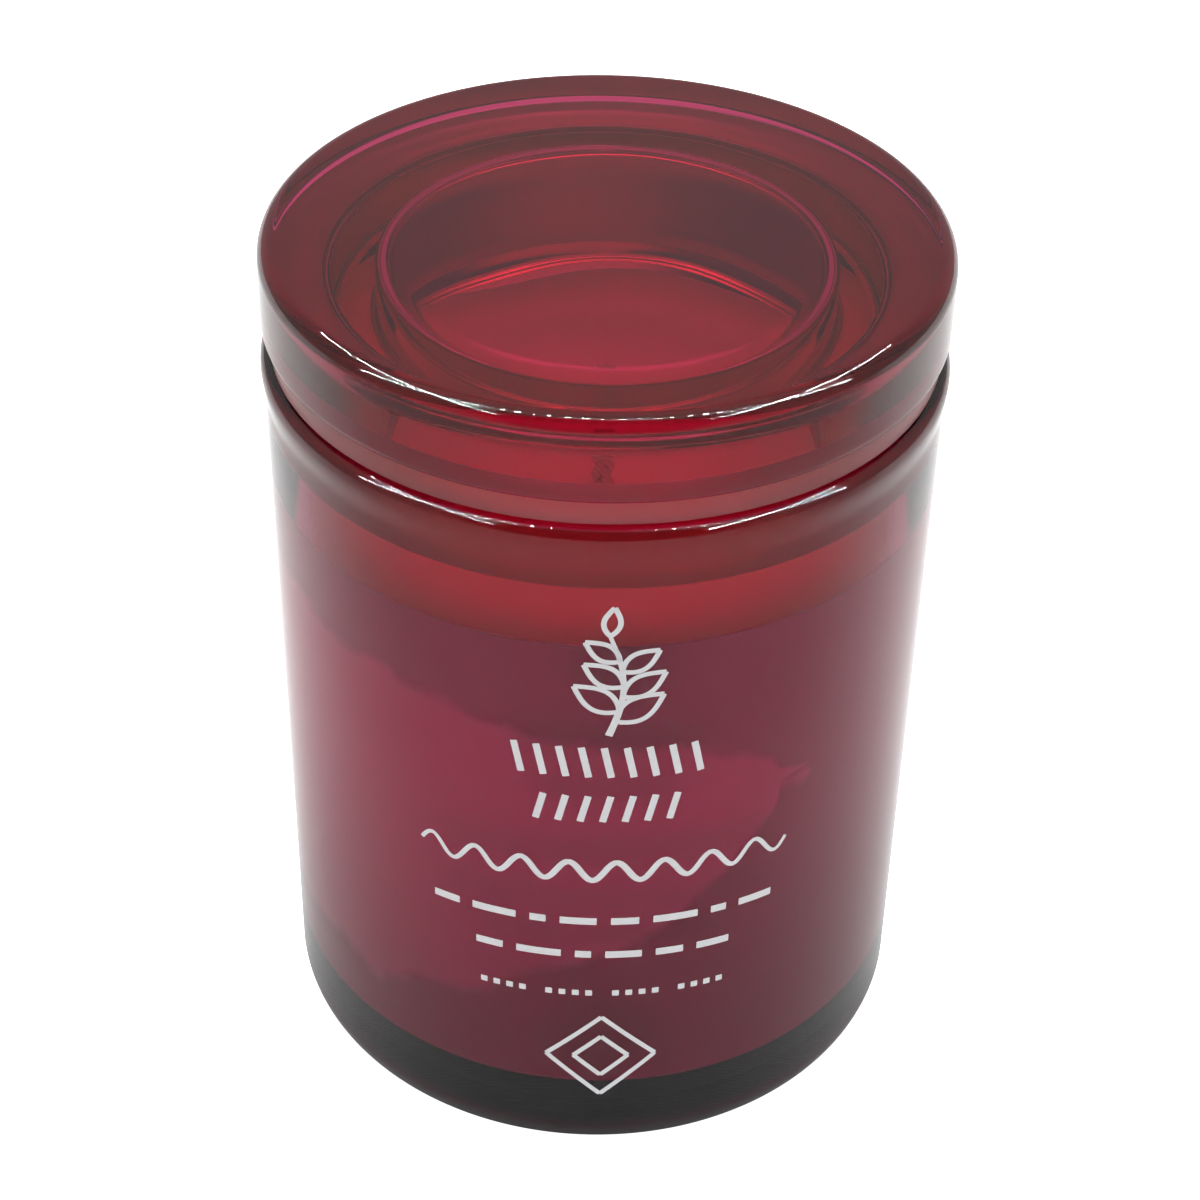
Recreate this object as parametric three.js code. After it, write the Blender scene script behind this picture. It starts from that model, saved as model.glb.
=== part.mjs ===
import * as THREE from 'three';

// A glass candle jar with a pressed glass lid, in millimetres, +Z up.
// The origin is the centre of the jar's foot, and everything is turned about the Z axis.
// The lid sits on a silicone gasket, which seals on the jar's rim. The jar holds wax and a wick.

// Jar
const JAR_FOOT_RADIUS = 30.5;
const JAR_NECK_RADIUS = 30.95;
const JAR_NECK_Z = 71.0;
const JAR_BEAD_RADIUS = 31.25;
const JAR_BEAD_Z = 73.9;
const JAR_RIM_Z = 75.2;
const JAR_WALL = 3.3;
const JAR_FLOOR_Z = 8.3;
const JAR_FOOT_ROUND = 4.0;
const JAR_FLOOR_ROUND = 0.6;
const JAR_RIM_ROUND = 1.3;

// Lid: a thick disc with a plug ring below it. The recess inside the ring has a straight wall,
// an edge line, and from there a round up to its flat ceiling.
const LID_RADIUS = 31.0;
const LID_BOTTOM_Z = 77.7;
const LID_TOP_Z = 86.0;
const LID_TOP_ROUND = 1.6;
const LID_BOTTOM_ROUND = 0.8;
const PLUG_RADIUS = 24.6;
const PLUG_BOTTOM_Z = 66.5;
const PLUG_ROUND = 0.8;
const PLUG_ROOT_ROUND = 1.0;
const RECESS_RADIUS = 20.7;
const RECESS_EDGE_Z = 78.2;
const RECESS_TOP_Z = 80.2;
const RECESS_ROUND = 4.0;

// Gasket: a sleeve on the plug and a flange between rim and lid
const GASKET_CLEARANCE = 0.2;
const GASKET_SLEEVE_RADIUS = 27.2;
const GASKET_CHAMFER = 0.8;
const GASKET_FLANGE_RADIUS = 30.3;
const GASKET_FLANGE_BOTTOM_Z = 75.5;
const GASKET_FLANGE_TOP_Z = 77.5;
const GASKET_SLEEVE_BOTTOM_Z = 68.0;

// Wax and wick
const WAX_TOP_Z = 61.8;
const WAX_CLEARANCE = 0.3;
const WICK_RADIUS = 1.2;
const WICK_CLEARANCE = 0.3;
const WICK_TOP_Z = 68.6;
const WICK_TIP_ROUND = 0.4;

const TURN_STEPS = 60;
const WICK_STEPS = 16;
const ARC_STEPS = 5;
const FINE_ARC_STEPS = 3;

const QUARTER = Math.PI / 2;

// Points of a round corner about (r, z), from one angle to another, anticlockwise from +r.
function arc(r, z, radius, from, to, steps = ARC_STEPS) {
  const points = [];
  for (let i = 0; i <= steps; i += 1) {
    const angle = from + (to - from) * i / steps;
    points.push([r + radius * Math.cos(angle), z + radius * Math.sin(angle)]);
  }
  return points;
}

// A closed solid of revolution about +Z. The outline runs outward along the bottom,
// up the outside and back inward, so that the faces point out.
function turned(name, outline, colour, roughness, steps = TURN_STEPS) {
  const points = outline.map(([r, z]) => new THREE.Vector2(r, z));
  const geometry = new THREE.LatheGeometry(points, steps);
  geometry.rotateX(QUARTER);
  const material = new THREE.MeshStandardMaterial({ color: colour, roughness, metalness: 0 });
  const mesh = new THREE.Mesh(geometry, material);
  mesh.name = name;
  return mesh;
}

// The jar's outer radius on its straight taper, and its inner radius one wall further in.
function outerRadius(z) {
  return JAR_FOOT_RADIUS + (JAR_NECK_RADIUS - JAR_FOOT_RADIUS) * z / JAR_NECK_Z;
}

function innerRadius(z) {
  return outerRadius(z) - JAR_WALL;
}

// The bead under the rim swells out of the neck and back, as one smooth cosine wave.
function bead(steps) {
  const points = [];
  const swell = JAR_BEAD_RADIUS - JAR_NECK_RADIUS;
  for (let i = 0; i <= steps; i += 1) {
    const z = JAR_NECK_Z + (JAR_BEAD_Z - JAR_NECK_Z) * i / steps;
    points.push([JAR_NECK_RADIUS + swell * (1 - Math.cos(Math.PI * i / steps)) / 2, z]);
  }
  return points;
}

function jar() {
  const rimZ = JAR_RIM_Z - JAR_RIM_ROUND;
  const rimInner = innerRadius(JAR_RIM_Z) + JAR_RIM_ROUND;
  const floorRadius = innerRadius(JAR_FLOOR_Z) - JAR_FLOOR_ROUND;
  return turned('jar', [
    [0, 0],
    ...arc(JAR_FOOT_RADIUS - JAR_FOOT_ROUND, JAR_FOOT_ROUND, JAR_FOOT_ROUND, -QUARTER, 0),
    ...bead(ARC_STEPS),
    ...arc(JAR_BEAD_RADIUS - JAR_RIM_ROUND, rimZ, JAR_RIM_ROUND, QUARTER / 4, QUARTER),
    ...arc(rimInner, rimZ, JAR_RIM_ROUND, QUARTER, 2 * QUARTER),
    ...arc(floorRadius, JAR_FLOOR_Z + JAR_FLOOR_ROUND, JAR_FLOOR_ROUND, 0, -QUARTER, FINE_ARC_STEPS),
    [0, JAR_FLOOR_Z],
  ], 0x8c1826, 0.05);
}

function lid() {
  const edge = Math.asin(1 - (RECESS_TOP_Z - RECESS_EDGE_Z) / RECESS_ROUND);
  const centre = RECESS_RADIUS - RECESS_ROUND * Math.cos(edge);
  const root = [PLUG_RADIUS + PLUG_ROOT_ROUND, LID_BOTTOM_Z - PLUG_ROOT_ROUND];
  const bottomRound = [LID_RADIUS - LID_BOTTOM_ROUND, LID_BOTTOM_Z + LID_BOTTOM_ROUND];
  return turned('lid', [
    [0, RECESS_TOP_Z],
    ...arc(centre, RECESS_TOP_Z - RECESS_ROUND, RECESS_ROUND, QUARTER, edge),
    ...arc(RECESS_RADIUS + PLUG_ROUND, PLUG_BOTTOM_Z + PLUG_ROUND, PLUG_ROUND, -2 * QUARTER, -QUARTER),
    ...arc(PLUG_RADIUS - PLUG_ROUND, PLUG_BOTTOM_Z + PLUG_ROUND, PLUG_ROUND, -QUARTER, 0),
    ...arc(...root, PLUG_ROOT_ROUND, 2 * QUARTER, QUARTER, FINE_ARC_STEPS),
    ...arc(...bottomRound, LID_BOTTOM_ROUND, -QUARTER, 0, FINE_ARC_STEPS),
    ...arc(LID_RADIUS - LID_TOP_ROUND, LID_TOP_Z - LID_TOP_ROUND, LID_TOP_ROUND, 0, QUARTER),
    [0, LID_TOP_Z],
  ], 0x8f1a27, 0.05);
}

function gasket() {
  const bore = PLUG_RADIUS + GASKET_CLEARANCE;
  const outline = [
    [bore, GASKET_SLEEVE_BOTTOM_Z],
    [GASKET_SLEEVE_RADIUS, GASKET_SLEEVE_BOTTOM_Z],
    [GASKET_SLEEVE_RADIUS, GASKET_FLANGE_BOTTOM_Z],
    [GASKET_FLANGE_RADIUS, GASKET_FLANGE_BOTTOM_Z],
    [GASKET_FLANGE_RADIUS, GASKET_FLANGE_TOP_Z],
    [bore + GASKET_CHAMFER, GASKET_FLANGE_TOP_Z],
    [bore, GASKET_FLANGE_TOP_Z - GASKET_CHAMFER],
  ];
  return turned('gasket', [...outline, outline[0]], 0xc8646a, 0.45);
}

function wax() {
  const bore = WICK_RADIUS + WICK_CLEARANCE;
  const bottom = JAR_FLOOR_Z + WAX_CLEARANCE;
  const low = innerRadius(JAR_FLOOR_Z) - WAX_CLEARANCE;
  const high = innerRadius(WAX_TOP_Z) - WAX_CLEARANCE;
  const outline = [
    [bore, bottom],
    ...arc(low - JAR_FLOOR_ROUND, bottom + JAR_FLOOR_ROUND, JAR_FLOOR_ROUND, -QUARTER, 0, FINE_ARC_STEPS),
    [high, WAX_TOP_Z],
    [bore, WAX_TOP_Z],
  ];
  return turned('wax', [...outline, outline[0]], 0xd8c8bc, 0.6);
}

function wick() {
  return turned('wick', [
    [0, JAR_FLOOR_Z + WICK_CLEARANCE],
    [WICK_RADIUS, JAR_FLOOR_Z + WICK_CLEARANCE],
    ...arc(WICK_RADIUS - WICK_TIP_ROUND, WICK_TOP_Z - WICK_TIP_ROUND, WICK_TIP_ROUND, 0, QUARTER, 2),
    [0, WICK_TOP_Z],
  ], 0xe6dfd0, 0.9, WICK_STEPS);
}

const candle = new THREE.Group();
candle.add(jar(), lid(), gasket(), wax(), wick());

export default candle;
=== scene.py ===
from functools import partial
import math

import bmesh
import bpy
from mathutils import Matrix, Vector


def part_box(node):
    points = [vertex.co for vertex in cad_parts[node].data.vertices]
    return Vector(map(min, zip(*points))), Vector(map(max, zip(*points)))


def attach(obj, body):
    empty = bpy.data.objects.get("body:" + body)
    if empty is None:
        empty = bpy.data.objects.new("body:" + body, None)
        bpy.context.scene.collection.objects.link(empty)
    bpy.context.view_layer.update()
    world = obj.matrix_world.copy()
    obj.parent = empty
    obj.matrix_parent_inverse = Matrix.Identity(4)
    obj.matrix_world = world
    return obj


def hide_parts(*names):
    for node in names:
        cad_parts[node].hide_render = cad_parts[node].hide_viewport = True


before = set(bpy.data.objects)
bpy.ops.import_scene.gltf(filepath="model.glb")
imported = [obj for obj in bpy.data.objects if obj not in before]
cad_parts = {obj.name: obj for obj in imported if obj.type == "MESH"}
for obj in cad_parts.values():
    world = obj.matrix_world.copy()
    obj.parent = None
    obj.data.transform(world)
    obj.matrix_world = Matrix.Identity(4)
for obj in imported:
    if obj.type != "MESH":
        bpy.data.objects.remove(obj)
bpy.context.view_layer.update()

MM = 0.001
QUARTER = math.pi / 2

# ---------------------------------------------------------------- sizes, in metres, from the frame
_, JAR_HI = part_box("jar")
LID_LO, LID_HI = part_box("lid")
GASKET_LO, GASKET_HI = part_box("gasket")
_, WAX_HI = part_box("wax")
_, WICK_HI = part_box("wick")

# ---------------------------------------------------------------- sizes of the pieces
JAR_WALL = 3.3 * MM
JAR_FLOOR_Z = 8.3 * MM
JAR_FOOT_RADIUS = 30.5 * MM
JAR_FOOT_ROUND = 4.0 * MM
JAR_FLOOR_ROUND = 0.6 * MM
JAR_NECK_RADIUS = 30.95 * MM
JAR_NECK_Z = 71.0 * MM
JAR_BEAD_RADIUS = JAR_HI.x
JAR_BEAD_Z = 73.9 * MM
JAR_RIM_ROUND = 1.3 * MM

LID_RADIUS = LID_HI.x
LID_TOP_ROUND = 1.6 * MM
LID_BOTTOM_Z = 77.7 * MM
LID_BOTTOM_ROUND = 0.8 * MM
PLUG_RADIUS = 24.6 * MM
PLUG_ROUND = 0.8 * MM
PLUG_ROOT_ROUND = 1.0 * MM
RECESS_RADIUS = 20.7 * MM
RECESS_EDGE_Z = 78.2 * MM
RECESS_TOP_Z = 80.2 * MM
RECESS_ROUND = 2.0 * MM
CEILING_RINGS = 40
CEILING_WAVE = 0.07 * MM
CEILING_WAVE_X, CEILING_START_X = 4.5 * MM, 0.9
CEILING_WAVE_Y, CEILING_START_Y = 5.5 * MM, -0.4

GASKET_CLING = 0.03 * MM
GASKET_BORE = PLUG_RADIUS - GASKET_CLING
GASKET_TOP_Z = LID_BOTTOM_Z + GASKET_CLING
GASKET_BITE = 0.05 * MM
GASKET_TAPER = 0.3 * MM
GASKET_CHAMFER = 0.8 * MM
GASKET_FLANGE_BOTTOM_Z = 75.5 * MM

WAX_BITE = 0.15 * MM
WAX_MENISCUS = 0.35 * MM
MENISCUS_STEPS = 12
WALL_MENISCUS_WIDTH, WALL_MENISCUS_DECAY = 2.4 * MM, 0.6 * MM
WICK_MENISCUS_WIDTH, WICK_MENISCUS_DECAY = 4 * MM, 1.3 * MM

WICK_ROOT = 2 * MM
WICK_STRANDS = 3
WICK_STEPS = 60
WICK_STRAND = 0.44 * MM
WICK_SWELL, WICK_SWELL_BEAT = 0.06, 40
WICK_BRAID = 6.0 * MM
WICK_SWING_X, WICK_SWING_Y = 0.70 * MM, 0.40 * MM

TURN_STEPS = 256
HOLD = 0.1 * MM
SHARP_ANGLE = math.radians(30)
WICK_SHARP_ANGLE = math.radians(60)

# ---------------------------------------------------------------- the print (HALF: half a stroke's width)
PRINT_GAP = 0.005 * MM
PRINT_THICKNESS = 0.03 * MM
PRINT_X = 1.0 * MM
STROKE_STEPS = 12

TWIG_Z, TWIG_STEP, TWIG_STEPS = 53.4 * MM, 0.55 * MM, 20
TWIG_SWAY, TWIG_BEAT = 1.2 * MM, 0.16
TWIG_ROOT_HALF, TWIG_TIP_HALF = 0.34 * MM, 0.18 * MM
LEAVES = ((3, 1), (5, -1), (8, 1), (10, -1), (13, 1), (15, -1), (20, 0.12))
LEAF_ANGLE = math.radians(56)
LEAF_LENGTH, LEAF_SHORTER = 5.4 * MM, 0.12 * MM
LEAF_STEPS = 16
LEAF_BOW, LEAF_BELLY = 0.24, 0.85
LEAF_HALF = 0.24 * MM

BAR_ROWS = ((50.3 * MM, 9, 1.7 * MM, -0.35 * MM), (44.9 * MM, 7, 1.5 * MM, 0.35 * MM))
BAR_PITCH = 2.0 * MM
BAR_HALF = 0.32 * MM

WAVE_Z, WAVE_WIDTH, WAVE_SWING = 37.4 * MM, 35 * MM, 1.1 * MM
WAVE_STEPS, WAVE_BEAT = 120, 0.42
WAVE_END_HALF, WAVE_SWELL = 0.20 * MM, 0.12 * MM

DASH_ROWS = ((31.2 * MM, 16.25 * MM), (27.0 * MM, 12 * MM))
DASHES = (2.6 * MM, 4.2 * MM, 1.5 * MM, 3.4 * MM)
DASH_GAP = 1.3 * MM
DASH_HALF = 0.42 * MM

DOTS_Z, DOTS_ASIDE, DOTS_GROUP = 22.0 * MM, 9, 5
DOT_PITCH, DOT_REACH, DOT_STEPS = 1.25 * MM, 0.32 * MM, 4
DOT_HALF = 0.34 * MM

LOZENGE_Z, LOZENGE_REACH = 13.6 * MM, 5.2 * MM
LOZENGE_SCALES = (1.0, 0.5)
LOZENGE_HALF = 0.24 * MM

# ---------------------------------------------------------------- the wax, and its patch loose from the wall
PATCH_Z, PATCH_HALF_HEIGHT = 34.5 * MM, 20 * MM
PATCH_CLIMB, PATCH_CLIMB_POWER = 8 * MM, 1.5
PATCH_RIGHT_START, PATCH_RIGHT_REACH = math.radians(-45), math.radians(80)
PATCH_LEFT_START, PATCH_LEFT_REACH = math.radians(-75), math.radians(45)
PATCH_FADE = 12 * MM
PATCH_EDGE_OUT, PATCH_EDGE_IN = -0.06, 0.10
PATCH_NOISE, PATCH_NOISE_SCALE, PATCH_NOISE_DETAIL = 0.55, 110.0, 5.0
SPUR_Z, SPUR_HALF_HEIGHT = 43.6 * MM, 1.6 * MM
SPUR_TURN, SPUR_HALF_TURN = math.radians(29), math.radians(11)
SPUR_STRENGTH = 0.4
SEEN_TURN, SEEN_START, SEEN_END = math.radians(-40), math.radians(80), math.radians(92)
WAX_LOOSE_SHARE = 0.55
WAX_WET = (0.46, 0.42, 0.39)
WAX_DRY = (0.93, 0.87, 0.81)
# Painted shade: the wax's colour is darkened from the height WAX_CLEAR_Z down to the foot.
WAX_FOOT_Z, WAX_FOOT_PAINTED_SHADE = 10 * MM, 0.62
WAX_CLEAR_Z, WAX_CLEAR_SHADE = 45 * MM, 1.0
TOP_NORMAL_START, TOP_NORMAL_FULL = 0.3, 0.7

# ---------------------------------------------------------------- stage: floor, lamps, tent and camera
FLOOR_HALF = 3.0
FLOOR_ALBEDO = 0.52
FLOOR_GLOW = 0.55
FLOOR_GLOW_START_Y, FLOOR_GLOW_FULL_Y = -60 * MM, 40 * MM
FLOOR_LIFT = 2.1
# Painted shadow on the floor: its glow fades out under the jar.
FLOOR_PAINTED_SHADOW_RADIUS, FLOOR_PAINTED_SHADOW_END_RADIUS = 22 * MM, 37 * MM
FLOOR_FILL = 1.3
# Painted shadow for the camera: the floor is white up to a narrow shadow round the jar's foot.
FLOOR_SHADOW_RADIUS, FLOOR_WHITE_RADIUS = 24 * MM, 30 * MM
# Painted shade on the floor at the sides and behind the jar, seen only straight through glass.
SIDE_PAINTED_SHADE_START, SIDE_PAINTED_SHADE_FULL = 30 * MM, 60 * MM
SIDE_PAINTED_SHADE_INNER, SIDE_PAINTED_SHADE_OUTER = 0.3, 0.5
BACK_PAINTED_SHADE_X, BACK_PAINTED_SHADE_START, BACK_PAINTED_SHADE_FULL = -9 * MM, 10 * MM, 28 * MM
BACK_PAINTED_SHADE_START_Y, BACK_PAINTED_SHADE_FULL_Y = 48 * MM, 60 * MM
BACK_PAINTED_SHADE_INNER, BACK_PAINTED_SHADE_OUTER = 0.4, 0.97

LED_HEIGHT = 0.75
LED_FRONT = 0.10
LED_SIDE = 0.45
LED_PITCH = 0.036
LED_COUNT = 16
LED_RADIUS = 0.009
LED_LIGHT = 330.0

OPENING_ELEVATION = math.radians(38)
OPENING_INNER = math.radians(28)
OPENING_OUTER = math.radians(50)
OPENING_LIGHT = 0.1
WALL_LIGHT = 0.5
ROOF_LIGHT = 5.6
ROOF_MIRRORED = 0.8
ROOF_START = math.radians(50)
ROOF_FULL = math.radians(68)

CAMERA_ELEVATION = 0.6475
CAMERA_DISTANCE = 0.2739
CAMERA_AIM_Z = 0.0448
CAMERA_ROLL = 0.0221
CAMERA_LENS = 84.6
CAMERA_SENSOR = 36
CAMERA_CLIP = 0.01


# ---------------------------------------------------------------- mesh helpers
def new_object(name, data):
    thing = bpy.data.objects.new(name, data)
    bpy.context.scene.collection.objects.link(thing)
    return thing


def new_mesh(name, bm):
    mesh = bpy.data.meshes.new(name)
    bm.to_mesh(mesh)
    bm.free()
    return mesh


def smooth(mesh, sharp_angle):
    mesh.shade_smooth()
    mesh.set_sharp_from_angle(angle=sharp_angle)


def circle(steps):
    return [math.tau * i / steps for i in range(steps)]


def skin(bm, low, high):
    """Joins two closed rings of points with the same count by a band of faces."""
    count = len(low)
    for i in range(count):
        j = (i + 1) % count
        bm.faces.new((low[i], low[j], high[j], high[i]))


def arc(r, z, radius, start, end, steps=12):
    """Points of a round corner about (r, z), anticlockwise from +r."""
    angles = [start + (end - start) * i / steps for i in range(steps + 1)]
    return [(r + radius * math.cos(a), z + radius * math.sin(a)) for a in angles]


def held(outline, closed=False):
    """The outline with a point near each end of its long straight stretches.

    The extra points keep the shading of those stretches flat."""
    ends = list(zip(outline, outline[1:] + outline[:1] if closed else outline[1:]))
    points = []
    for (r0, z0), (r1, z1) in ends:
        points.append((r0, z0))
        length = math.hypot(r1 - r0, z1 - z0)
        if length > 6 * HOLD:
            share = HOLD / length
            points.append((r0 + (r1 - r0) * share, z0 + (z1 - z0) * share))
            points.append((r1 + (r0 - r1) * share, z1 + (z0 - z1) * share))
    return points if closed else points + [outline[-1]]


def turned(name, outline, closed=False):
    """A solid of revolution about Z.

    The outline runs outward along the bottom and back inward along the top."""
    bm = bmesh.new()
    turn = circle(TURN_STEPS)
    rings = []
    for r, z in held(outline, closed):
        if r < 1e-9:
            rings.append([bm.verts.new((0.0, 0.0, z))])
        else:
            rings.append([bm.verts.new((r * math.cos(a), r * math.sin(a), z)) for a in turn])
    pairs = list(zip(rings, rings[1:]))
    if closed:
        pairs.append((rings[-1], rings[0]))
    for low, high in pairs:
        if len(low) == len(high):
            skin(bm, low, high)
            continue
        for i in range(TURN_STEPS):
            j = (i + 1) % TURN_STEPS
            if len(low) == 1:
                bm.faces.new((low[0], high[j], high[i]))
            else:
                bm.faces.new((low[i], low[j], high[0]))
    bm.normal_update()
    mesh = new_mesh(name, bm)
    smooth(mesh, SHARP_ANGLE)
    return new_object(name, mesh)


def outer_radius(z):
    """The jar's wall leans out a little from foot to neck."""
    return JAR_FOOT_RADIUS + (JAR_NECK_RADIUS - JAR_FOOT_RADIUS) * z / JAR_NECK_Z


def inner_radius(z):
    return outer_radius(z) - JAR_WALL


def bead(steps=12):
    """The bead under the rim swells out of the neck as a cosine wave."""
    swell = JAR_BEAD_RADIUS - JAR_NECK_RADIUS
    points = []
    for i in range(steps + 1):
        z = JAR_NECK_Z + (JAR_BEAD_Z - JAR_NECK_Z) * i / steps
        points.append((JAR_NECK_RADIUS + swell * (1 - math.cos(math.pi * i / steps)) / 2, z))
    return points


# ---------------------------------------------------------------- pieces
def make_jar():
    top = JAR_HI.z
    rim_inner = inner_radius(top)
    rim_z = top - JAR_RIM_ROUND
    foot_r = JAR_FOOT_RADIUS - JAR_FOOT_ROUND
    floor_r = inner_radius(JAR_FLOOR_Z) - JAR_FLOOR_ROUND
    outline = [(0, 0), (foot_r / 2, 0)]
    outline += arc(foot_r, JAR_FOOT_ROUND, JAR_FOOT_ROUND, -QUARTER, 0, 20)
    outline += bead()
    outline += arc(JAR_BEAD_RADIUS - JAR_RIM_ROUND, rim_z, JAR_RIM_ROUND, QUARTER / 4, QUARTER)
    outline += arc(rim_inner + JAR_RIM_ROUND, rim_z, JAR_RIM_ROUND, QUARTER, 2 * QUARTER)
    outline += arc(floor_r, JAR_FLOOR_Z + JAR_FLOOR_ROUND, JAR_FLOOR_ROUND, 0, -QUARTER)
    outline += [(floor_r / 2, JAR_FLOOR_Z), (0, JAR_FLOOR_Z)]
    return turned("jar_glass", outline)


def make_lid():
    """A thick disc with a plug below, hollowed by a recess. The outline starts at the recess's ceiling."""
    top = LID_HI.z
    edge = math.asin(1 - (RECESS_TOP_Z - RECESS_EDGE_Z) / RECESS_ROUND)
    centre = RECESS_RADIUS - RECESS_ROUND * math.cos(edge)
    plug_z = LID_LO.z + PLUG_ROUND
    top_r = LID_RADIUS - LID_TOP_ROUND
    outline = [(centre * i / CEILING_RINGS, RECESS_TOP_Z) for i in range(CEILING_RINGS)]
    outline += arc(centre, RECESS_TOP_Z - RECESS_ROUND, RECESS_ROUND, QUARTER, edge, 24)
    outline += arc(RECESS_RADIUS + PLUG_ROUND, plug_z, PLUG_ROUND, -2 * QUARTER, -QUARTER)
    outline += arc(PLUG_RADIUS - PLUG_ROUND, plug_z, PLUG_ROUND, -QUARTER, 0)
    outline += arc(PLUG_RADIUS + PLUG_ROOT_ROUND, LID_BOTTOM_Z - PLUG_ROOT_ROUND, PLUG_ROOT_ROUND,
                   2 * QUARTER, QUARTER)
    outline += arc(LID_RADIUS - LID_BOTTOM_ROUND, LID_BOTTOM_Z + LID_BOTTOM_ROUND, LID_BOTTOM_ROUND,
                   -QUARTER, 0, 6)
    outline += arc(top_r, top - LID_TOP_ROUND, LID_TOP_ROUND, 0, QUARTER, 24)
    outline += [(top_r / 2, top), (0, top)]
    lid = turned("lid_glass", outline)
    ripple(lid.data, centre)
    return lid


def ripple(mesh, edge):
    """The recess's ceiling is not quite flat, as on pressed glass, and waves a little."""
    for vertex in mesh.vertices:
        x, y, z = vertex.co
        share = math.hypot(x, y) / edge
        if abs(z - RECESS_TOP_Z) < 1e-6 and share < 1:
            wave = math.sin(x / CEILING_WAVE_X + CEILING_START_X)
            wave *= math.cos(y / CEILING_WAVE_Y + CEILING_START_Y)
            vertex.co.z += (1 - share ** 4) * CEILING_WAVE * wave


def make_gasket():
    """A sleeve round the plug, with a flange on the rim.

    It reaches just into the glass, because soft silicone clings to it without an air gap."""
    low, high = GASKET_FLANGE_BOTTOM_Z, GASKET_TOP_Z
    edge = GASKET_HI.x
    wall = inner_radius(low) + GASKET_BITE
    outline = [
        (GASKET_BORE, GASKET_LO.z),
        (wall - GASKET_BITE, GASKET_LO.z),
        (wall, GASKET_LO.z + GASKET_TAPER),
        (wall, low),
        (edge, low),
        (edge, high),
        (GASKET_BORE + GASKET_CHAMFER, high),
        (GASKET_BORE, high - GASKET_CHAMFER),
    ]
    return turned("gasket_silicone", outline, closed=True)


def make_wax():
    """The wax fills the jar and reaches just into its wall, so that no air gap shows.

    It creeps up a little at the wall and at the wick."""
    low_z = JAR_FLOOR_Z - WAX_BITE
    low = inner_radius(JAR_FLOOR_Z) + WAX_BITE
    wall = inner_radius(WAX_HI.z)

    def creep(away, decay):
        return WAX_HI.z - WAX_MENISCUS * (1 - math.exp(-away / decay))

    outline = [(0, low_z)]
    outline += arc(low - JAR_FLOOR_ROUND, low_z + JAR_FLOOR_ROUND, JAR_FLOOR_ROUND, -QUARTER, 0)
    outline += [(wall + WAX_BITE, WAX_HI.z)]
    for i in range(MENISCUS_STEPS + 1):
        away = WALL_MENISCUS_WIDTH * i / MENISCUS_STEPS
        outline.append((wall - away, creep(away, WALL_MENISCUS_DECAY)))
    for i in range(MENISCUS_STEPS + 1):
        away = WICK_MENISCUS_WIDTH * (1 - i / MENISCUS_STEPS)
        outline.append((away, creep(away, WICK_MENISCUS_DECAY)))
    return turned("wax_fill", outline)


def tube(bm, path, radius, sides=10):
    """A round tube along a path, closed at both ends. The radius may vary along the path."""
    rings = []
    for i, point in enumerate(path):
        along = (path[min(i + 1, len(path) - 1)] - path[max(i - 1, 0)]).normalized()
        side = along.cross(Vector((0, 1, 0))).normalized()
        up = along.cross(side)
        r = radius(i / (len(path) - 1))
        rings.append([bm.verts.new(point + side * r * math.cos(a) + up * r * math.sin(a))
                      for a in circle(sides)])
    for low, high in zip(rings, rings[1:]):
        skin(bm, low, high)
    bm.faces.new(rings[0])
    bm.faces.new(rings[-1])


def make_wick():
    """A braid of three waxed cotton strands, cut off square."""
    bm = bmesh.new()
    foot = WAX_HI.z - WICK_ROOT
    for strand in range(WICK_STRANDS):
        path = []
        for i in range(WICK_STEPS + 1):
            z = foot + (WICK_HI.z - foot) * i / WICK_STEPS
            angle = math.tau * (z / WICK_BRAID + strand / WICK_STRANDS)
            path.append(Vector((WICK_SWING_X * math.sin(angle), WICK_SWING_Y * math.sin(2 * angle), z)))
        tube(bm, path, lambda share: WICK_STRAND * (1 + WICK_SWELL * math.sin(WICK_SWELL_BEAT * share)))
    bmesh.ops.recalc_face_normals(bm, faces=bm.faces)
    mesh = new_mesh("wick_cotton", bm)
    smooth(mesh, WICK_SHARP_ANGLE)
    return new_object("wick_cotton", mesh)


# ---------------------------------------------------------------- print on the jar's front
def ribbon(bm, path, half_width):
    """A strip of ink along a path of (across, height) points on the jar's front, as a thin closed solid."""
    columns = 2
    rows = []
    for i, (u, z) in enumerate(path):
        before, after = path[max(i - 1, 0)], path[min(i + 1, len(path) - 1)]
        along = Vector((after[0] - before[0], after[1] - before[1])).normalized()
        side = Vector((-along.y, along.x))
        half = half_width(i / (len(path) - 1))
        inner, outer = [], []
        for k in range(columns + 1):
            shift = half * (2 * k / columns - 1)
            pu, pz = u + side.x * shift, z + side.y * shift
            base = outer_radius(pz) + PRINT_GAP
            angle = pu / base
            for verts, r in ((inner, base), (outer, base + PRINT_THICKNESS)):
                verts.append(bm.verts.new((r * math.sin(angle), -r * math.cos(angle), pz)))
        rows.append(inner + outer[::-1])
    for low, high in zip(rows, rows[1:]):
        skin(bm, low, high)
    bm.faces.new(rows[0])
    bm.faces.new(rows[-1])


def stroke(bm, start, end, half, steps=STROKE_STEPS):
    """A straight stroke between two points, given as (from the print's middle line, height)."""
    (u0, z0), (u1, z1) = start, end
    path = [(PRINT_X + u0 + (u1 - u0) * i / steps, z0 + (z1 - z0) * i / steps) for i in range(steps + 1)]
    ribbon(bm, path, lambda share: half)


def leaf(bm, root, angle, length):
    """A leaf with its mid-rib left open, drawn as two bowed strokes from root to tip."""
    for bow in (-1, 1):
        path = []
        for i in range(LEAF_STEPS + 1):
            share = i / LEAF_STEPS
            along = length * share
            across = bow * LEAF_BOW * length * math.sin(math.pi * share ** LEAF_BELLY)
            path.append((root[0] + along * math.cos(angle) - across * math.sin(angle),
                         root[1] + along * math.sin(angle) + across * math.cos(angle)))
        ribbon(bm, path, lambda share: LEAF_HALF)


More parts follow.
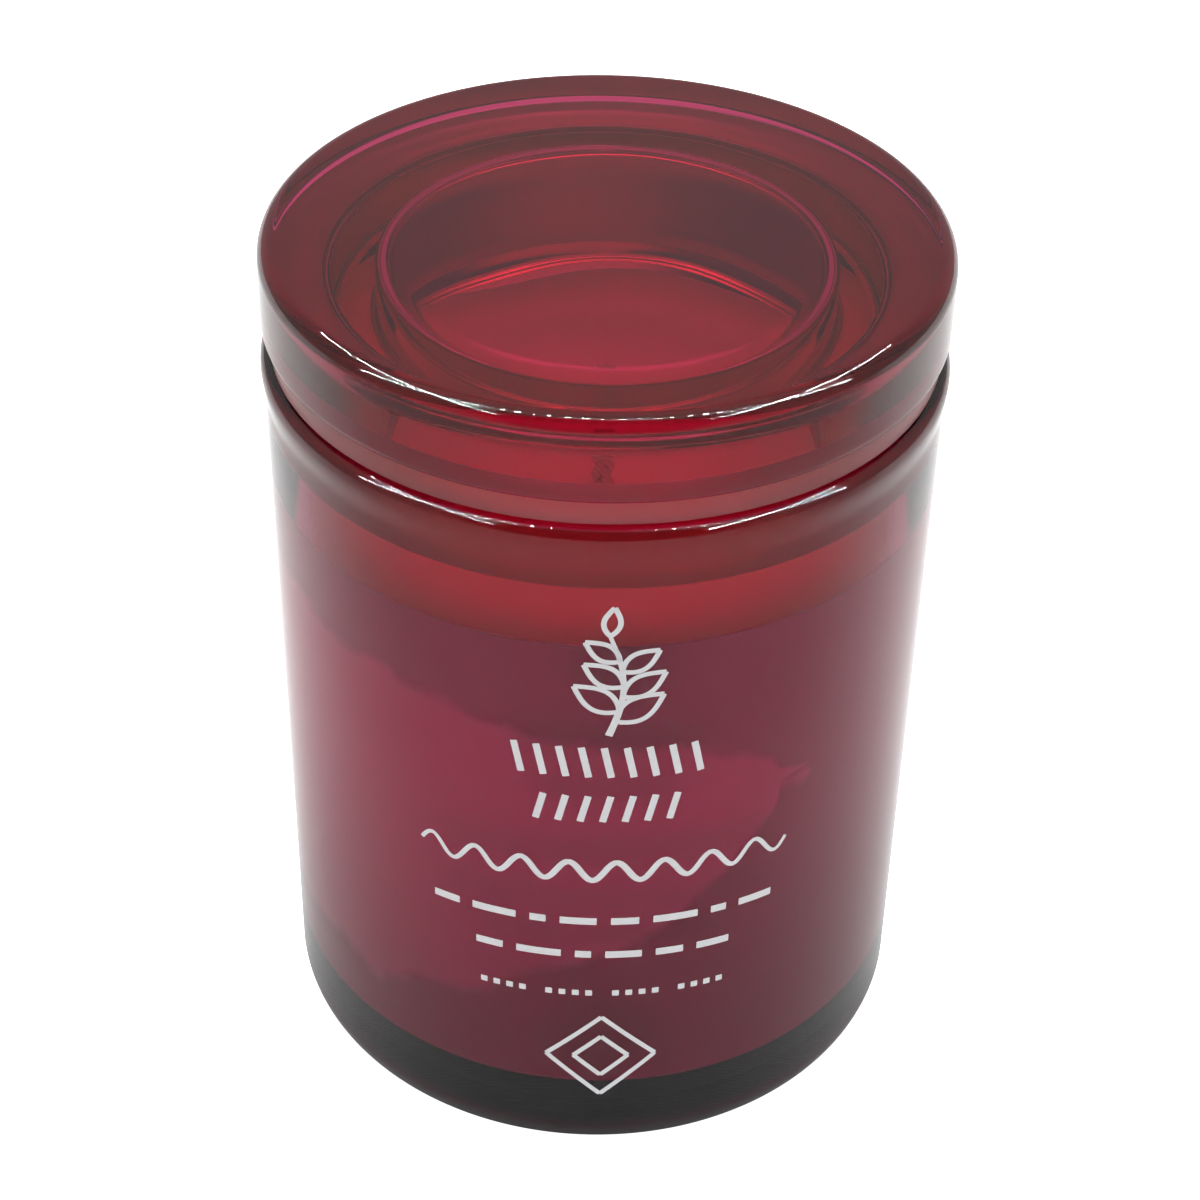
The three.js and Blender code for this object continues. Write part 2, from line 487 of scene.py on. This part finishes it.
def draw_twig(bm):
    twig = [(PRINT_X + TWIG_SWAY * math.sin(TWIG_BEAT * i), TWIG_Z + TWIG_STEP * i)
            for i in range(TWIG_STEPS + 1)]
    ribbon(bm, twig, lambda share: TWIG_ROOT_HALF + (TWIG_TIP_HALF - TWIG_ROOT_HALF) * share)
    for i, side in LEAVES:
        leaf(bm, twig[i], QUARTER - side * LEAF_ANGLE, LEAF_LENGTH - LEAF_SHORTER * i)


def draw_bars(bm):
    for z, count, reach, lean in BAR_ROWS:
        for i in range(count):
            u = (i - (count - 1) / 2) * BAR_PITCH
            stroke(bm, (u - lean, z - reach), (u + lean, z + reach), BAR_HALF)


def draw_wave(bm):
    path = [(PRINT_X + (i / WAVE_STEPS - 0.5) * WAVE_WIDTH, WAVE_Z + WAVE_SWING * math.sin(WAVE_BEAT * i))
            for i in range(WAVE_STEPS + 1)]
    ribbon(bm, path, lambda share: WAVE_END_HALF + WAVE_SWELL * math.sin(math.pi * share))


def draw_dashes(bm):
    """Rows of dashes of four lengths in turn. The last one is cut off where its row ends."""
    for z, reach in DASH_ROWS:
        u = -reach
        step = 0
        while u < reach:
            end = min(u + DASHES[step % len(DASHES)], reach)
            stroke(bm, (u, z), (end, z), DASH_HALF)
            u = end + DASH_GAP
            step += 1


def draw_dots(bm):
    """A row of dots with every fifth left out."""
    for i in range(-DOTS_ASIDE, DOTS_ASIDE + 1):
        if i % DOTS_GROUP:
            u = i * DOT_PITCH
            stroke(bm, (u - DOT_REACH, DOTS_Z), (u + DOT_REACH, DOTS_Z), DOT_HALF, DOT_STEPS)


def draw_lozenge(bm):
    """One lozenge inside another."""
    corners = [(0, 1), (1, 0), (0, -1), (-1, 0)]
    for scale in LOZENGE_SCALES:
        reach = scale * LOZENGE_REACH
        for (u0, z0), (u1, z1) in zip(corners, corners[1:] + corners[:1]):
            stroke(bm, (u0 * reach, LOZENGE_Z + z0 * reach), (u1 * reach, LOZENGE_Z + z1 * reach),
                   LOZENGE_HALF)


def make_print():
    """A plain ornament: a leafy twig over rows of bars, a wave, dashes and dots, with a lozenge below."""
    bm = bmesh.new()
    for draw in (draw_twig, draw_bars, draw_wave, draw_dashes, draw_dots, draw_lozenge):
        draw(bm)
    bmesh.ops.recalc_face_normals(bm, faces=bm.faces)
    return new_object("print_front", new_mesh("print_front", bm))


# ---------------------------------------------------------------- material helpers
def new_material(name):
    material = bpy.data.materials.new(name)
    material.use_nodes = True
    tree = material.node_tree
    return material, tree, tree.nodes["Principled BSDF"]


def add_math(nodes, links, operation, *values):
    """A maths node fed with numbers or sockets."""
    node = nodes.new("ShaderNodeMath")
    node.operation = operation
    for socket, value in zip(node.inputs, values):
        if isinstance(value, (int, float)):
            socket.default_value = value
        else:
            links.new(value, socket)
    return node.outputs[0]


def add_ramp(nodes, links, value, low, high, at_low, at_high):
    """A smooth step from one level to another. The last level may be a socket."""
    step = nodes.new("ShaderNodeMapRange")
    step.interpolation_type = "SMOOTHSTEP"
    step.inputs["From Min"].default_value = low
    step.inputs["From Max"].default_value = high
    step.inputs["To Min"].default_value = at_low
    if isinstance(at_high, (int, float)):
        step.inputs["To Max"].default_value = at_high
    else:
        links.new(at_high, step.inputs["To Max"])
    links.new(value, step.inputs["Value"])
    return step.outputs["Result"]


def add_position(nodes, links, output="Object"):
    """A texture coordinate, whole and split into its three parts."""
    position = nodes.new("ShaderNodeTexCoord").outputs[output]
    split = nodes.new("ShaderNodeSeparateXYZ")
    links.new(position, split.inputs[0])
    return position, split.outputs


def add_tone(nodes, links, share, first, second):
    """A colour between two others."""
    tone = nodes.new("ShaderNodeMix")
    tone.data_type = "RGBA"
    tone.inputs[6].default_value = (*first, 1)
    tone.inputs[7].default_value = (*second, 1)
    links.new(share, tone.inputs[0])
    return tone.outputs[2]


def textured_material(name, texture_type, scale, first, second, roughness):
    """A material whose colour wanders between two tones along a procedural texture."""
    material, tree, shader = new_material(name)
    nodes, links = tree.nodes, tree.links
    texture = nodes.new(texture_type)
    texture.inputs["Scale"].default_value = scale
    links.new(nodes.new("ShaderNodeTexCoord").outputs["Object"], texture.inputs["Vector"])
    links.new(add_tone(nodes, links, texture.outputs["Fac"], first, second), shader.inputs["Base Color"])
    shader.inputs["Roughness"].default_value = roughness
    return material, shader, texture


# ---------------------------------------------------------------- materials of the pieces
def make_glass_material(name, tint, absorb_colour, absorb_density):
    """Clear glass, coloured at its surface and by what it absorbs inside."""
    material, tree, shader = new_material(name)
    shader.inputs["Base Color"].default_value = (*tint, 1)
    shader.inputs["Roughness"].default_value = 0.0
    shader.inputs["IOR"].default_value = 1.5
    shader.inputs["Transmission Weight"].default_value = 1.0
    volume = tree.nodes.new("ShaderNodeVolumeAbsorption")
    volume.inputs["Color"].default_value = (*absorb_colour, 1)
    volume.inputs["Density"].default_value = absorb_density
    tree.links.new(volume.outputs["Volume"], tree.nodes["Material Output"].inputs["Volume"])
    return material


def make_wax_material():
    """Pale wax. Where it has come loose from the wall, behind the lower left of the print, it shows lighter.

    The loose patch is a ragged lens that climbs and thins to the right, with a small spur beside it."""
    material, tree, shader = new_material("wax")
    nodes, links = tree.nodes, tree.links
    maths, ramp = partial(add_math, nodes, links), partial(add_ramp, nodes, links)

    def clamped(value):
        return maths("MINIMUM", maths("MAXIMUM", value, 0), 1)

    def distance(value, middle, unit):
        return maths("DIVIDE", maths("ABSOLUTE", maths("SUBTRACT", value, middle)), unit)

    position, (x, y, height) = add_position(nodes, links)
    noise = nodes.new("ShaderNodeTexNoise")
    noise.inputs["Scale"].default_value = PATCH_NOISE_SCALE
    noise.inputs["Detail"].default_value = PATCH_NOISE_DETAIL
    links.new(position, noise.inputs["Vector"])
    ragged = maths("MULTIPLY", maths("SUBTRACT", noise.outputs["Fac"], 0.5), PATCH_NOISE)

    across = maths("ARCTAN2", x, maths("MULTIPLY", y, -1))
    right = clamped(maths("DIVIDE", maths("SUBTRACT", across, PATCH_RIGHT_START), PATCH_RIGHT_REACH))
    left = clamped(maths("DIVIDE", maths("SUBTRACT", PATCH_LEFT_START, across), PATCH_LEFT_REACH))
    middle = maths("MULTIPLY_ADD", maths("POWER", right, PATCH_CLIMB_POWER), PATCH_CLIMB, PATCH_Z)
    half = maths("SQRT", maths("SUBTRACT", 1, maths("MAXIMUM", right, left)))
    half = maths("MULTIPLY", half, PATCH_HALF_HEIGHT)
    off = maths("ABSOLUTE", maths("SUBTRACT", height, middle))
    lens = maths("DIVIDE", maths("SUBTRACT", half, off), PATCH_FADE)
    away = maths("ADD", distance(height, SPUR_Z, SPUR_HALF_HEIGHT),
                 distance(across, SPUR_TURN, SPUR_HALF_TURN))
    spur = maths("MULTIPLY", maths("SUBTRACT", 1, away), SPUR_STRENGTH)
    inside = maths("ADD", maths("MAXIMUM", lens, spur), ragged)
    unseen = ramp(maths("ABSOLUTE", maths("SUBTRACT", across, SEEN_TURN)), SEEN_START, SEEN_END, 0, 1)
    loose = ramp(maths("SUBTRACT", inside, unseen), PATCH_EDGE_OUT, PATCH_EDGE_IN, 0, 1)

    normal = add_position(nodes, links, "Normal")[1]
    top = ramp(normal["Z"], TOP_NORMAL_START, TOP_NORMAL_FULL, 0, 1)
    light = maths("MAXIMUM", maths("MULTIPLY", loose, WAX_LOOSE_SHARE), top)
    shade = nodes.new("ShaderNodeVectorMath")
    shade.operation = "SCALE"
    links.new(add_tone(nodes, links, light, WAX_WET, WAX_DRY), shade.inputs[0])
    # Painted shade: the wax is painted darker towards the jar's foot.
    links.new(ramp(height, WAX_FOOT_Z, WAX_CLEAR_Z, WAX_FOOT_PAINTED_SHADE, WAX_CLEAR_SHADE), shade.inputs["Scale"])
    links.new(shade.outputs[0], shader.inputs["Base Color"])
    shader.inputs["Roughness"].default_value = 0.55
    return material


def make_wick_material():
    """Cream cotton, with the fine yarn lines of the strands."""
    material, _, yarn = textured_material("waxed_cotton", "ShaderNodeTexWave", 900.0,
                                          (0.80, 0.75, 0.66), (0.95, 0.91, 0.83), 0.8)
    yarn.bands_direction = "DIAGONAL"
    yarn.inputs["Distortion"].default_value = 2.0
    return material


def make_gasket_material():
    """Silicone that lets most light through. Its salmon colour is partly its own and partly painted light,
    standing in for red light that reaches it through the red glass.
    """
    # Salmon tint: partly the silicone's own colour, partly painted red light from the glass.
    material, shader, _ = textured_material("silicone", "ShaderNodeTexNoise", 150.0,
                                            (0.92, 0.41, 0.39), (0.96, 0.50, 0.48), 0.3)
    shader.inputs["Transmission Weight"].default_value = 0.88
    shader.inputs["IOR"].default_value = 1.41
    return material


def make_print_material():
    """White screen-print ink, a little uneven."""
    return textured_material("white_ink", "ShaderNodeTexNoise", 900.0,
                             (0.39, 0.39, 0.40), (0.46, 0.46, 0.47), 0.5)[0]


# ---------------------------------------------------------------- stage
def make_floor():
    """A white floor that glows from below, brighter towards the back, with a painted shadow right under the
    jar where its glow fades out.

    Straight through glass it shows painted shade, as if grey flags stood at both sides and behind the jar.
    Light that was scattered on its way comes from a brighter floor."""
    half = FLOOR_HALF
    mesh = bpy.data.meshes.new("floor")
    corners = [(-half, -half, 0), (half, -half, 0), (half, half, 0), (-half, half, 0)]
    mesh.from_pydata(corners, [], [(0, 1, 2, 3)])
    floor = new_object("floor", mesh)
    material, tree, shader = new_material("glowing_floor_painted_shadow")
    shader.inputs["Roughness"].default_value = 0.9
    shader.inputs["Specular IOR Level"].default_value = 0.0
    shader.inputs["Emission Color"].default_value = (1, 1, 1, 1)
    nodes, links = tree.nodes, tree.links
    maths, ramp = partial(add_math, nodes, links), partial(add_ramp, nodes, links)
    position, (x, y, _) = add_position(nodes, links)
    length = nodes.new("ShaderNodeVectorMath")
    length.operation = "LENGTH"
    links.new(position, length.inputs[0])
    radius = length.outputs["Value"]
    path = nodes.new("ShaderNodeLightPath")

    scattered = maths("MINIMUM", path.outputs["Diffuse Depth"], 1)
    straight = maths("MULTIPLY", path.outputs["Is Transmission Ray"], maths("SUBTRACT", 1, scattered))
    # Painted shade: seen straight through glass, the floor is darker at the sides and behind the jar.
    side_painted_shade = ramp(maths("ABSOLUTE", x), SIDE_PAINTED_SHADE_START, SIDE_PAINTED_SHADE_FULL, SIDE_PAINTED_SHADE_INNER, SIDE_PAINTED_SHADE_OUTER)
    back_painted_shade = ramp(maths("ABSOLUTE", maths("SUBTRACT", x, BACK_PAINTED_SHADE_X)),
                     BACK_PAINTED_SHADE_START, BACK_PAINTED_SHADE_FULL, BACK_PAINTED_SHADE_INNER, BACK_PAINTED_SHADE_OUTER)
    back_painted_shade = maths("MULTIPLY", back_painted_shade, ramp(y, BACK_PAINTED_SHADE_START_Y, BACK_PAINTED_SHADE_FULL_Y, 0, 1))
    flag = maths("MAXIMUM", side_painted_shade, back_painted_shade)
    open_share = maths("SUBTRACT", 1, maths("MULTIPLY", straight, flag))

    # Painted shadow under the jar: the glow fades out there.
    outside_painted_shadow = ramp(radius, FLOOR_PAINTED_SHADOW_RADIUS, FLOOR_PAINTED_SHADOW_END_RADIUS, 0, 1)
    back = ramp(y, FLOOR_GLOW_START_Y, FLOOR_GLOW_FULL_Y, 0, FLOOR_GLOW)
    glow = maths("MULTIPLY", outside_painted_shadow, maths("MULTIPLY_ADD", scattered, FLOOR_LIFT, back))
    # For the camera the floor is filled to white, except for a narrow painted shadow round the foot.
    white = ramp(radius, FLOOR_SHADOW_RADIUS, FLOOR_WHITE_RADIUS, 0, FLOOR_FILL)
    glow = maths("MULTIPLY_ADD", white, path.outputs["Is Camera Ray"], glow)
    links.new(maths("MULTIPLY", glow, open_share), shader.inputs["Emission Strength"])
    links.new(maths("MULTIPLY", open_share, FLOOR_ALBEDO), shader.inputs["Base Color"])
    mesh.materials.append(material)


def make_leds():
    """Strips of small white lamps along the tent's upper front and side edges.

    Only their reflections show."""
    bm = bmesh.new()
    places = [(LED_PITCH * i, -LED_FRONT, LED_HEIGHT) for i in range(-2 * LED_COUNT, 2 * LED_COUNT + 1)]
    for side in (-1, 1):
        places += [(side * LED_SIDE, LED_PITCH * i, LED_HEIGHT) for i in range(-LED_COUNT, LED_COUNT)]
    for place in places:
        bmesh.ops.create_icosphere(bm, subdivisions=1, radius=LED_RADIUS, matrix=Matrix.Translation(place))
    mesh = new_mesh("led_strips", bm)
    leds = new_object("led_strips", mesh)
    material, tree, shader = new_material("led_white")
    shader.inputs["Base Color"].default_value = (0, 0, 0, 1)
    shader.inputs["Emission Color"].default_value = (1, 1, 1, 1)
    path = tree.nodes.new("ShaderNodeLightPath")
    strength = add_math(tree.nodes, tree.links, "MULTIPLY", path.outputs["Is Reflection Ray"], LED_LIGHT)
    tree.links.new(strength, shader.inputs["Emission Strength"])
    mesh.materials.append(material)
    leds.visible_diffuse = False
    leds.visible_transmission = False
    leds.visible_volume_scatter = False


def make_world():
    """A white light tent, brightest overhead, that is open and so dark towards the front.

    A crisp reflection shows the roof dimmer, which keeps a broad grey highlight off the lid's edge."""
    world = bpy.data.worlds.new("tent")
    bpy.context.scene.world = world
    world.use_nodes = True
    nodes, links = world.node_tree.nodes, world.node_tree.links
    maths, ramp = partial(add_math, nodes, links), partial(add_ramp, nodes, links)
    direction, (_, _, up) = add_position(nodes, links, "Generated")
    dot = nodes.new("ShaderNodeVectorMath")
    dot.operation = "DOT_PRODUCT"
    dot.inputs[1].default_value = (0, -math.cos(OPENING_ELEVATION), math.sin(OPENING_ELEVATION))
    links.new(direction, dot.inputs[0])
    path = nodes.new("ShaderNodeLightPath")

    mirrored = maths("MULTIPLY", path.outputs["Is Reflection Ray"],
                     maths("SUBTRACT", 1, path.outputs["Is Diffuse Ray"]))
    roof = maths("MULTIPLY_ADD", mirrored, ROOF_MIRRORED - ROOF_LIGHT, ROOF_LIGHT)
    tent = ramp(up, math.sin(ROOF_START), math.sin(ROOF_FULL), WALL_LIGHT, roof)
    opening = ramp(dot.outputs["Value"], math.cos(OPENING_OUTER), math.cos(OPENING_INNER), 0, 1)
    mix = nodes.new("ShaderNodeMix")
    links.new(opening, mix.inputs[0])
    links.new(tent, mix.inputs[2])
    mix.inputs[3].default_value = OPENING_LIGHT
    background = nodes["Background"]
    background.inputs["Color"].default_value = (1, 1, 1, 1)
    links.new(mix.outputs[0], background.inputs["Strength"])


def make_camera():
    camera = new_object("camera", bpy.data.cameras.new("camera"))
    away = Vector((0, -math.cos(CAMERA_ELEVATION), math.sin(CAMERA_ELEVATION)))
    place = Vector((0, 0, CAMERA_AIM_Z)) + away * CAMERA_DISTANCE
    turn = away.to_track_quat("Z", "Y").to_matrix().to_4x4()
    camera.matrix_world = Matrix.Translation(place) @ turn @ Matrix.Rotation(CAMERA_ROLL, 4, "Z")
    camera.data.lens = CAMERA_LENS
    camera.data.sensor_width = CAMERA_SENSOR
    camera.data.clip_start = CAMERA_CLIP
    bpy.context.scene.camera = camera


# ---------------------------------------------------------------- the part and its stage
jar_glass = make_glass_material("jar_glass", (1.0, 0.15, 0.25), (0.72, 0.0, 0.61), 430.0)
lid_glass = make_glass_material("lid_glass", (0.65, 0.10, 0.22), (0.92, 0.0, 0.64), 150.0)

PIECES = [
    (make_jar(), "jar", "jar_glass", jar_glass),
    (make_lid(), "lid", "lid_glass", lid_glass),
    (make_gasket(), "gasket", "gasket", make_gasket_material()),
    (make_wax(), "wax", "wax", make_wax_material()),
    (make_wick(), "wick", "wick", make_wick_material()),
    (make_print(), None, "print", make_print_material()),
]
for piece, node, slot, material in PIECES:
    piece.data.materials.append(material)
    if node:
        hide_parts(node)
    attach(piece, "root")

make_floor()
make_leds()
make_world()
make_camera()
scene = bpy.context.scene
scene.view_settings.view_transform = "Standard"
scene.cycles.use_denoising = True
scene.cycles.max_bounces = 32
scene.cycles.transmission_bounces = 32
scene.cycles.diffuse_bounces = 4
